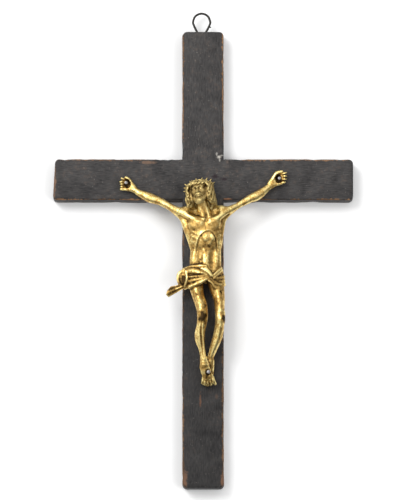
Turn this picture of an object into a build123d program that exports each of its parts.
"""Wall crucifix: a halved wooden cross, a cast figure nailed to it and a wire loop to hang it by.

Millimetres, Z up, X to the viewer's right, the front faces -Y. The origin is the centre of the
crossing on the back face, where the cross lies against the wall.
"""

import os
from math import acos, atan, atan2, cos, degrees, hypot, pi, sin, sqrt

from build123d import *

os.makedirs("parts", exist_ok=True)

# Wooden cross
post_length = 300.0
post_above_bar = 98.0  # from the middle of the crossbar to the top end
post_width = 27.0
bar_length = 196.0
bar_height = 27.0
beam_depth = 12.0
end_corner_radius = 2.4
worn_arris = 0.8
lap_depth = beam_depth / 2
lap_clearance = 0.05

# Wire loop in the top end
wire_diameter = 1.35
loop_radius = 5.5  # to the middle of the wire
loop_rise = 7.6  # from the post's end to the middle of the round part
loop_offset = -0.9
leg_spacing = 5.2
leg_bend_radius = 1.6
leg_depth = 12.0
wire_clearance = 0.05

# Forged nails
nail_head_width = 2.7
nail_head_height = 0.9
nail_head_top = 1.0
nail_shank_width = 1.3
nail_point_length = 3.0
nail_point_width = 0.2
nail_in_wood = 9.0
nail_clearance = 0.05
nail_hole_radius = nail_shank_width / sqrt(2) + nail_clearance
palm_hollow_radius = 2.3
palm_hollow_depth = 0.9
palm_thickness = 3.6
palm_seat = palm_thickness - palm_hollow_depth
feet_seat = 9.0  # how far the feet nail's head sits in front of the wood

# Brads that hold the halved joint, driven from the back
brad_head_radius = 1.3
brad_head_height = 0.7
brad_shank_radius = 0.6
brad_length = 10.0
brad_spacing = 13.0
brad_sink = 0.3
brad_clearance = 0.05

# Arms, cast apart and tenoned into the shoulders
tenon_radius = 1.5
tenon_length = 3.6
tenon_clearance = 0.05

# Places on the face of the wood: across, up and how far in front of it
right_palm = (-50.1, -2.5)
left_palm = (49.9, 0.4)
right_seat = (-15.1, -21.3, 8.0)
left_seat = (17.6, -20.6, 8.0)
feet_nail_place = (3.6, -127.4)
head_centre = (-2.0, -8.8, 13.6)
head_turn = (-16.0, -12.0, -12.0)  # lifted, leaning and turned, in degrees

limb_facets = 14
front = Plane.XZ.offset(beam_depth)
outward = Vector(0, -1, 0)


def at(across, up, proud):
    """A point the given distance in front of the face of the wood."""
    return front.from_local_coords(Vector(across, up, proud))


def along_plane(foot, head):
    """A plane whose second axis runs from one point to the other."""
    along = (head - foot).normalized()
    aside = Vector(1, 0, 0) if abs(along.Y) > 0.99 else along.cross(outward)
    return Plane(foot, x_dir=aside, z_dir=aside.cross(along))


def limb(foot, head, profile):
    """A limb along the line between two points, of tapering lengths with flat facets round them.

    The profile is (share of the line, radius). Each length is drawn from its thicker end.
    """
    aside = along_plane(foot, head).x_dir
    with BuildPart() as made:
        for (share, radius), (next_share, next_radius) in zip(profile, profile[1:]):
            thick = foot + share * (head - foot)
            thin = foot + next_share * (head - foot)
            if next_radius > radius:
                thick, thin = thin, thick
            length = (thin - thick).length
            slope = abs(next_radius - radius) * cos(pi / limb_facets) / length
            with BuildSketch(Plane(thick, x_dir=aside, z_dir=thin - thick)):
                RegularPolygon(max(radius, next_radius), limb_facets)
            extrude(amount=length, taper=degrees(atan(slope)))
    return made.part


def peg(foot, head, width, tip_width, roll=0):
    """A finger, toe, thorn or fold: a square bar drawn out from one point to the other."""
    inset = (width - tip_width) / 2
    with BuildPart() as made:
        with Locations(along_plane(foot, head).location * Rot(0, roll, 0)):
            Wedge(
                width,
                (head - foot).length,
                width,
                inset,
                inset,
                inset + tip_width,
                inset + tip_width,
                align=(Align.CENTER, Align.MIN, Align.CENTER),
            )
    return made.part


def stack(sections, sides, flute):
    """A trunk or wrap: level sections lofted straight from one to the next.

    A section is (up, across, half width, front, side, back); the last three say how far each
    stands in front of the wood. Every other corner is drawn in by the flute.
    """
    with BuildPart() as made:
        for up, across, half, front_edge, side, back in sections:
            corners = []
            for number in range(sides):
                angle = 2 * pi * number / sides
                swell = 1 - flute * (number % 2)
                depth = front_edge - side if sin(angle) > 0 else side - back
                corners.append((half * swell * cos(angle), -side - depth * swell * sin(angle)))
            with BuildSketch(Plane(at(across, up, 0), x_dir=(1, 0, 0), z_dir=(0, 0, 1))):
                Polygon(corners, align=None)
        loft(ruled=True)
    return made.part


def palm_block(foot, head, sections):
    """A hand or foot: flat eight-sided sections (share, half width, half depth) along a line."""
    with BuildPart() as made:
        for share, half_width, half_depth in sections:
            centre = foot + share * (head - foot)
            with BuildSketch(Plane(centre, x_dir=(head - foot).cross(outward), z_dir=head - foot)):
                chamfer(Rectangle(2 * half_width, 2 * half_depth).vertices(), 0.5 * half_depth)
        loft(ruled=True)
    return made.part


def cast(forms):
    """Forms run together in one casting."""
    with BuildPart() as made:
        for form in forms:
            add(form, clean=False)
    return made.part


# Wooden cross, shaped in one and then parted at the halved joint
with BuildPart() as worn_cross:
    with BuildSketch(Plane.XZ):
        with Locations((0, post_above_bar - post_length / 2)):
            Rectangle(post_width, post_length)
        Rectangle(bar_length, bar_height)
        ends = [
            corner
            for corner in vertices()
            if abs(corner.X) > post_width / 2 + 0.01 or abs(corner.Y) > bar_height / 2 + 0.01
        ]
        fillet(ends, end_corner_radius)
    extrude(amount=beam_depth)
    chamfer(faces().sort_by(Axis.Y)[0].edges(), worn_arris)

with BuildPart() as post:
    add(worn_cross.part)
    with BuildSketch(Plane.XZ):
        with Locations((0, post_above_bar - post_length / 2)):
            Rectangle(post_width, post_length)
    extrude(amount=beam_depth, mode=Mode.INTERSECT)
    with BuildSketch(Plane.XZ.offset(lap_depth)):
        Rectangle(post_width, bar_height + 2 * lap_clearance)
    extrude(amount=beam_depth - lap_depth, mode=Mode.SUBTRACT)
    with BuildSketch(Plane((loop_offset, -beam_depth / 2, post_above_bar))):
        with GridLocations(leg_spacing, 0, 2, 1):
            Circle(wire_diameter / 2 + wire_clearance)
    extrude(amount=-leg_depth - wire_clearance, mode=Mode.SUBTRACT)
    with BuildSketch(front):
        with Locations(feet_nail_place):
            Circle(nail_hole_radius)
    extrude(amount=-nail_in_wood - nail_clearance, mode=Mode.SUBTRACT)
    with BuildSketch(Plane.XZ):
        with GridLocations(brad_spacing, 0, 2, 1):
            Circle(brad_shank_radius + brad_clearance)
    extrude(amount=lap_depth, mode=Mode.SUBTRACT)
    with BuildSketch(Plane.XZ):
        with GridLocations(brad_spacing, 0, 2, 1):
            Circle(brad_head_radius + brad_clearance)
    extrude(amount=brad_head_height + brad_sink, mode=Mode.SUBTRACT)

with BuildPart() as crossbar:
    add(worn_cross.part)
    with BuildSketch(Plane.XZ):
        Rectangle(bar_length, bar_height)
    extrude(amount=beam_depth, mode=Mode.INTERSECT)
    with BuildSketch(Plane.XZ):
        Rectangle(post_width + 2 * lap_clearance, bar_height)
    extrude(amount=lap_depth, mode=Mode.SUBTRACT)
    with BuildSketch(front):
        with Locations(right_palm, left_palm):
            Circle(nail_hole_radius)
    extrude(amount=-nail_in_wood - nail_clearance, mode=Mode.SUBTRACT)
    with BuildSketch(Plane.XZ.offset(lap_depth)):
        with GridLocations(brad_spacing, 0, 2, 1):
            Circle(brad_shank_radius + brad_clearance)
    extrude(amount=brad_sink + brad_length - lap_depth + brad_clearance, mode=Mode.SUBTRACT)

with BuildPart() as lap_brads:
    with BuildSketch(Plane.XZ.offset(brad_sink)):
        with GridLocations(brad_spacing, 0, 2, 1):
            Circle(brad_head_radius)
    extrude(amount=brad_head_height)
    with BuildSketch(Plane.XZ.offset(brad_sink)):
        with GridLocations(brad_spacing, 0, 2, 1):
            Circle(brad_shank_radius)
    extrude(amount=brad_length)

# Wire loop: a round head on two straight sides, each bent down into its own hole
reach = hypot(leg_spacing / 2, loop_rise)
leave_angle = atan2(-loop_rise, leg_spacing / 2) + acos(loop_radius / reach)
loop_plane = Plane(
    (loop_offset, -beam_depth / 2, post_above_bar + loop_rise), x_dir=(1, 0, 0), z_dir=(0, -1, 0)
)
with BuildPart() as hanger_loop:
    with BuildLine(loop_plane) as wire_line:
        head = CenterArc((0, 0), loop_radius, degrees(leave_angle), 180 - 2 * degrees(leave_angle))
        Polyline(
            head @ 0, (leg_spacing / 2, -loop_rise), (leg_spacing / 2, -loop_rise - leg_depth)
        )
        Polyline(
            head @ 1, (-leg_spacing / 2, -loop_rise), (-leg_spacing / 2, -loop_rise - leg_depth)
        )
        bends = [
            corner
            for corner in vertices()
            if abs(corner.Z - post_above_bar) < 0.01
        ]
        fillet(bends, leg_bend_radius)
    wire = wire_line.wire()
    with BuildSketch(Plane(wire @ 0, z_dir=wire % 0)):
        RegularPolygon(wire_diameter / 2, 12)
    sweep(path=wire)

# Trunk of the figure: hips, waist, rib cage, chest and the slope up to the neck
trunk = stack(
    [
        (-65.2, 1.8, 10.5, 13.2, 7.6, 2.2),
        (-56.0, 1.6, 9.7, 13.8, 8.0, 3.0),
        (-49.5, 1.7, 9.0, 13.2, 8.4, 4.2),
        (-42.0, 1.9, 9.9, 14.4, 8.8, 3.2),
        (-32.0, 1.2, 11.6, 15.6, 9.0, 2.6),
        (-26.0, 0.9, 12.2, 14.2, 8.8, 2.8),
        (-21.5, 1.3, 9.8, 11.8, 8.4, 3.8),
        (-18.5, 1.2, 5.2, 11.2, 8.4, 5.2),
    ],
    sides=16,
    flute=0,
)
neck = limb(at(1.6, -24.0, 8.6), at(-0.8, -11.0, 11.8), [(0, 4.6), (0.4, 3.5), (1, 3.4)])

# Shoulders end square where the arms are let in, in line with the upper arms
elbow_share = 0.45
elbow_drop = 0.7
palm_half_depth = 1.9
palm_level = palm_thickness - palm_half_depth
arm_radius = 3.25
shoulder_depth = 9.5


def elbow_of(seat, palm):
    """The elbow hangs a little below the straight line from the shoulder to the palm."""
    across = seat[0] + elbow_share * (palm[0] - seat[0])
    up = seat[1] + elbow_share * (palm[1] - seat[1]) - elbow_drop
    return at(across, up, seat[2] + elbow_share * (palm_level - seat[2]))


def shoulder(seat, palm):
    """The stump of a shoulder, from inside the chest out to the arm's seam."""
    root = at(*seat) - shoulder_depth * (elbow_of(seat, palm) - at(*seat)).normalized()
    return limb(root, at(*seat), [(0, 5.2), (0.5, 4.4), (1, arm_radius)])


shoulders = [shoulder(right_seat, right_palm), shoulder(left_seat, left_palm)]


# Legs bent at the knee, the right foot crossed over the left
right_knee = at(-0.4, -91.5, 13.2)
right_calf = at(-1.9, -104.0, 10.6)
left_knee = at(11.3, -92.0, 12.0)
left_calf = at(9.8, -103.0, 9.6)
thigh = [(0, 5.6), (0.3, 4.9), (0.62, 3.75), (1, 3.55), (1.08, 2.4)]
shin = [(-0.16, 2.4), (0, 3.45), (0.4, 3.15), (1, 3.2), (1.1, 2.5)]
ankle = [(-0.06, 2.7), (0, 3.2), (0.4, 2.55), (0.75, 2.1), (1, 2.4)]
right_leg = [
    limb(at(-4.0, -66.0, 7.6), right_knee, thigh),
    limb(right_knee, right_calf, shin),
    limb(right_calf, at(0.7, -121.5, 9.0), ankle),
]
left_leg = [
    limb(at(7.8, -66.0, 7.6), left_knee, thigh),
    limb(left_knee, left_calf, shin),
    limb(left_calf, at(4.3, -121.5, 4.8), ankle),
]
right_foot = palm_block(
    at(0.5, -118.5, 9.4),
    at(3.0, -132.4, 4.6),
    [(0, 2.0, 2.0), (0.45, 3.3, 2.6), (0.8, 4.2, 2.0), (1, 4.3, 1.5)],
)
left_foot = palm_block(
    at(4.5, -118.5, 5.6),
    at(3.4, -133.0, 1.4),
    [(0, 2.0, 2.0), (0.45, 2.8, 2.3), (0.8, 3.6, 2.0), (1, 3.7, 1.6)],
)
right_toe_ends = [
    ((0.0, -131.2, 4.9), (-0.8, -134.0, 4.6), 1.8),
    ((1.3, -131.4, 4.9), (1.0, -135.0, 4.5), 1.8),
    ((2.8, -131.4, 4.9), (2.8, -135.6, 4.4), 1.8),
    ((4.2, -131.4, 4.9), (4.7, -135.6, 4.4), 1.8),
    ((5.7, -130.8, 4.9), (6.9, -135.4, 4.5), 2.4),
]
left_toe_ends = [
    ((1.0, -132.0, 1.7), (0.3, -136.6, 1.7), 2.4),
    ((2.6, -132.2, 1.7), (2.4, -136.9, 1.7), 1.8),
    ((4.1, -132.2, 1.7), (4.2, -136.7, 1.7), 1.8),
    ((5.5, -132.0, 1.7), (5.9, -135.9, 1.7), 1.7),
    ((6.6, -131.4, 1.7), (7.3, -134.8, 1.7), 1.5),
]
right_toes = [peg(at(*root), at(*tip), wide, 0.7 * wide) for root, tip, wide in right_toe_ends]
left_toes = [peg(at(*root), at(*tip), wide, 0.7 * wide) for root, tip, wide in left_toe_ends]

# Head in its own leaning plane: face, hair, beard and the crown of thorns
head_plane = Plane(Location(at(*head_centre), head_turn))


def head_point(aside, forward, up):
    """A point in the head's own axes."""
    return head_plane.from_local_coords(Vector(aside, -forward, up))


face = limb(
    head_point(0, 2.0, -7.6),
    head_point(0, 0.2, 7.8),
    [(0, 2.4), (0.2, 4.5), (0.5, 5.6), (0.75, 5.6), (0.92, 4.2), (1, 2.4)],
)
hair = limb(
    head_point(0, -3.4, -9.0),
    head_point(0, -0.6, 8.6),
    [(0, 4.2), (0.3, 6.8), (0.6, 8.0), (0.8, 7.4), (0.93, 5.2), (1, 2.8)],
)
beard = limb(head_point(0, 3.6, -4.0), head_point(0, 4.6, -9.6), [(0, 3.2), (0.55, 2.7), (1, 1.2)])
nose = peg(head_point(0, 5.4, 2.4), head_point(0, 6.6, -1.6), 1.0, 1.9)
locks = [
    limb(at(-8.2, -5.0, 11.0), at(-10.4, -12.5, 11.0), [(0, 1.9), (1, 2.1), (1.1, 1.6)]),
    limb(at(-10.4, -12.5, 11.0), at(-9.0, -20.8, 11.4), [(-0.1, 1.6), (0, 2.05), (1, 0.9)]),
    limb(at(5.0, -4.5, 10.0), at(9.0, -19.0, 10.2), [(0, 2.2), (0.5, 2.2), (1, 1.3)]),
]
crown_radius = 7.8
crown_thickness = 1.7
crown_level = 3.8
thorn_count = 12
thorn_width = 1.1
thorn_length = 3.2
thorn_lift = 1.2
thorn_point = 0.2


def crown_point(number, radius, up):
    """A point round the crown, at the place of one of its thorns."""
    angle = 2 * pi * number / thorn_count
    return head_point(radius * cos(angle), radius * sin(angle), up)


crown = []
for number in range(thorn_count):
    root = crown_point(number, crown_radius, crown_level)
    along = crown_point(number + 1, crown_radius, crown_level)
    tip = crown_point(number, crown_radius + thorn_length, crown_level + thorn_lift)
    crown.append(peg(root, along, crown_thickness, crown_thickness, roll=45))
    crown.append(peg(root, tip, thorn_width, thorn_point))

# Loincloth: a pleated wrap, open to the hip on one side, with rolled folds, a knot and a tail
wrap_stack = stack(
    [
        (-57.0, 1.0, 11.0, 14.8, 7.8, 1.6),
        (-62.0, 0.4, 12.9, 15.3, 7.6, 0.8),
        (-68.0, 0.9, 13.5, 15.2, 7.6, 0.7),
        (-74.5, 1.6, 12.5, 14.2, 8.0, 1.4),
    ],
    sides=24,
    flute=0.035,
)
with BuildPart() as wrap:
    add(wrap_stack)
    with BuildSketch(front.offset(-1)):
        Polygon(
            (-16, -71.6),
            (-7.9, -72.6),
            (-2.0, -69.4),
            (2.4, -66.2),
            (5.9, -68.7),
            (10.6, -72.6),
            (17, -70.4),
            (17, -80),
            (-16, -80),
            align=None,
        )
    extrude(amount=24, mode=Mode.SUBTRACT)
    with BuildSketch(front.offset(8)):
        Polygon((1.5, -56), (6.6, -64.4), (13.5, -56), align=None)
    extrude(amount=16, mode=Mode.SUBTRACT)


def on_wrap(across, up):
    """A point on the front of the wrap."""
    return at(across, up, 7.6 + 7.2 * sqrt(1 - ((across - 0.6) / 13.8) ** 2))


fold_runs = [
    ((-11.6, -58.9), (-5.0, -57.4), 2.2),
    ((-5.6, -57.4), (1.8, -57.5), 2.2),
    ((-1.5, -57.8), (6.8, -64.8), 2.4),
    ((12.0, -58.8), (6.2, -65.2), 2.2),
    ((-11.4, -63.0), (-2.0, -61.9), 1.8),
    ((-2.6, -61.9), (5.6, -64.6), 1.8),
    ((-11.0, -68.0), (-3.0, -65.6), 1.8),
    ((-3.6, -65.7), (5.2, -64.9), 1.8),
    ((-8.8, -72.0), (2.4, -65.8), 1.7),
    ((2.4, -66.1), (10.8, -72.2), 1.7),
]
folds = [peg(on_wrap(*foot), on_wrap(*head), width, width, roll=45) for foot, head, width in fold_runs]
knot = [
    limb(at(-11.8, -57.6, 7.6), at(-14.2, -65.2, 7.6), [(0, 1.4), (0.5, 2.9), (1, 3.3), (1.15, 2.8)]),
    limb(at(-14.2, -65.2, 7.6), at(-12.0, -72.0, 7.0), [(-0.1, 3.0), (0, 3.3), (0.6, 2.9), (1, 1.4)]),
]
tail = palm_block(
    at(-11.4, -69.4, 7.2),
    at(-23.6, -75.2, 7.2),
    [(0, 1.5, 1.5), (0.45, 2.7, 1.4), (0.8, 3.3, 1.3), (1, 2.2, 1.0)],
)

# The figure's main casting, sunk for the feet nail and socketed for the arms
with BuildPart() as corpus_body:
    add(cast([trunk, neck, *shoulders]), clean=False)
    add(cast([wrap.part, *folds, *knot, tail]), clean=False)
    add(cast([*right_leg, right_foot, *right_toes]), clean=False)
    add(cast([*left_leg, left_foot, *left_toes]), clean=False)
    add(cast([hair, face, beard, nose, *locks, *crown]), clean=False)
    with BuildSketch(front):
        Rectangle(bar_length, 2 * post_length)
    extrude(amount=-beam_depth, mode=Mode.SUBTRACT)
    with BuildSketch(front.offset(-1)):
        with Locations(feet_nail_place):
            Circle(nail_hole_radius)
    extrude(amount=20, mode=Mode.SUBTRACT)
    with BuildSketch(front.offset(feet_seat)):
        with Locations(feet_nail_place):
            Circle(palm_hollow_radius)
    extrude(amount=4, mode=Mode.SUBTRACT)
    for arm_seat, arm_palm in ((right_seat, right_palm), (left_seat, left_palm)):
        with BuildSketch(Plane(at(*arm_seat), z_dir=elbow_of(arm_seat, arm_palm) - at(*arm_seat))):
            Circle(tenon_radius + tenon_clearance)
        extrude(amount=-tenon_length - tenon_clearance, mode=Mode.SUBTRACT)

# Arms: shoulder tenon, upper arm, forearm, palm, curled fingers and a thumb
finger_runs = [
    [(1.8, 2.0, 2.0), (4.2, 3.7, 2.4), (4.6, 4.0, 4.4)],
    [(2.0, 0.8, 2.0), (4.6, 1.1, 2.4), (5.0, 1.15, 4.5)],
    [(2.0, -0.8, 2.0), (4.5, -1.1, 2.4), (4.9, -1.15, 4.5)],
    [(1.7, -2.1, 2.0), (3.8, -2.9, 2.4), (4.1, -3.0, 4.3)],
    [(-2.2, 0.0, 2.2), (-0.2, 4.0, 2.7), (0.9, 5.4, 3.1)],
]
finger_width = 1.9


def arm(seat, palm, side, droop):
    """An arm with its hand and shoulder tenon; droop is how far the hand bends from level."""
    elbow = elbow_of(seat, palm)
    wrist = at(palm[0] - 4.0 * side, palm[1] - 2.6, palm_level + 0.6)
    upper = limb(at(*seat), elbow, [(0, arm_radius), (0.45, 2.6), (0.85, 2.9), (1, 2.8), (1.1, 1.7)])
    fore = limb(elbow, wrist, [(-0.12, 1.7), (0, 2.75), (0.35, 3.2), (0.75, 2.2), (1, 1.9), (1.1, 1.3)])
    hand_foot = at(palm[0] - 4.4 * side, palm[1] - 2.4, palm_level + 0.3)
    hand_head = at(palm[0] + 3.0 * side, palm[1] + 3.0 * droop, palm_level)
    hand = palm_block(
        hand_foot,
        hand_head,
        [(0, 1.6, 1.4), (0.35, 2.7, palm_half_depth), (0.85, 3.5, palm_half_depth), (1, 3.2, 1.5)],
    )
    fingers = []
    for run in finger_runs:
        knuckles = [
            at(palm[0] + side * along, palm[1] + droop * along + rise, proud) for along, rise, proud in run
        ]
        fingers.append(peg(knuckles[0], knuckles[1], finger_width, 0.9 * finger_width))
        fingers.append(peg(knuckles[1], knuckles[2], 0.9 * finger_width, 0.55 * finger_width))
    with BuildPart() as made:
        add(cast([upper, fore, hand, *fingers]))
        with BuildSketch(Plane(at(*seat), z_dir=at(*seat) - elbow)):
            Circle(tenon_radius)
        extrude(amount=tenon_length)
        with BuildSketch(front):
            Rectangle(2 * bar_length, 2 * bar_height)
        extrude(amount=-beam_depth, mode=Mode.SUBTRACT)
        with BuildSketch(front):
            with Locations(palm):
                Circle(nail_hole_radius)
        extrude(amount=2 * palm_thickness, mode=Mode.SUBTRACT)
        with BuildSketch(front.offset(palm_seat)):
            with Locations(palm):
                Circle(palm_hollow_radius)
        extrude(amount=palm_thickness, mode=Mode.SUBTRACT)
    return made


corpus_right_arm = arm(right_seat, right_palm, -1, -0.2)
corpus_left_arm = arm(left_seat, left_palm, 1, 0.15)


def nail(place, seat):
    """A forged nail: a four-faced head bearing at the given seat and a square, pointed shank."""
    bearing = at(*place, seat)
    shank = seat + nail_in_wood - nail_point_length
    pieces = [
        peg(bearing, bearing + nail_head_height * outward, nail_head_width, nail_head_top),
        peg(bearing, bearing - shank * outward, nail_shank_width, nail_shank_width),
        peg(
            bearing - shank * outward,
            bearing - (shank + nail_point_length) * outward,
            nail_shank_width,
            nail_point_width,
        ),
    ]
    with BuildPart() as made:
        add(pieces)
    return made


right_hand_nail = nail(right_palm, palm_seat)
left_hand_nail = nail(left_palm, palm_seat)
feet_nail = nail(feet_nail_place, feet_seat)

# Names and files
for name, piece in {
    "post": post,
    "crossbar": crossbar,
    "lap_brads": lap_brads,
    "hanger_loop": hanger_loop,
    "corpus_body": corpus_body,
    "corpus_right_arm": corpus_right_arm,
    "corpus_left_arm": corpus_left_arm,
    "right_hand_nail": right_hand_nail,
    "left_hand_nail": left_hand_nail,
    "feet_nail": feet_nail,
}.items():
    piece.part.label = name
    export_step(piece.part, f"parts/{name}.step")
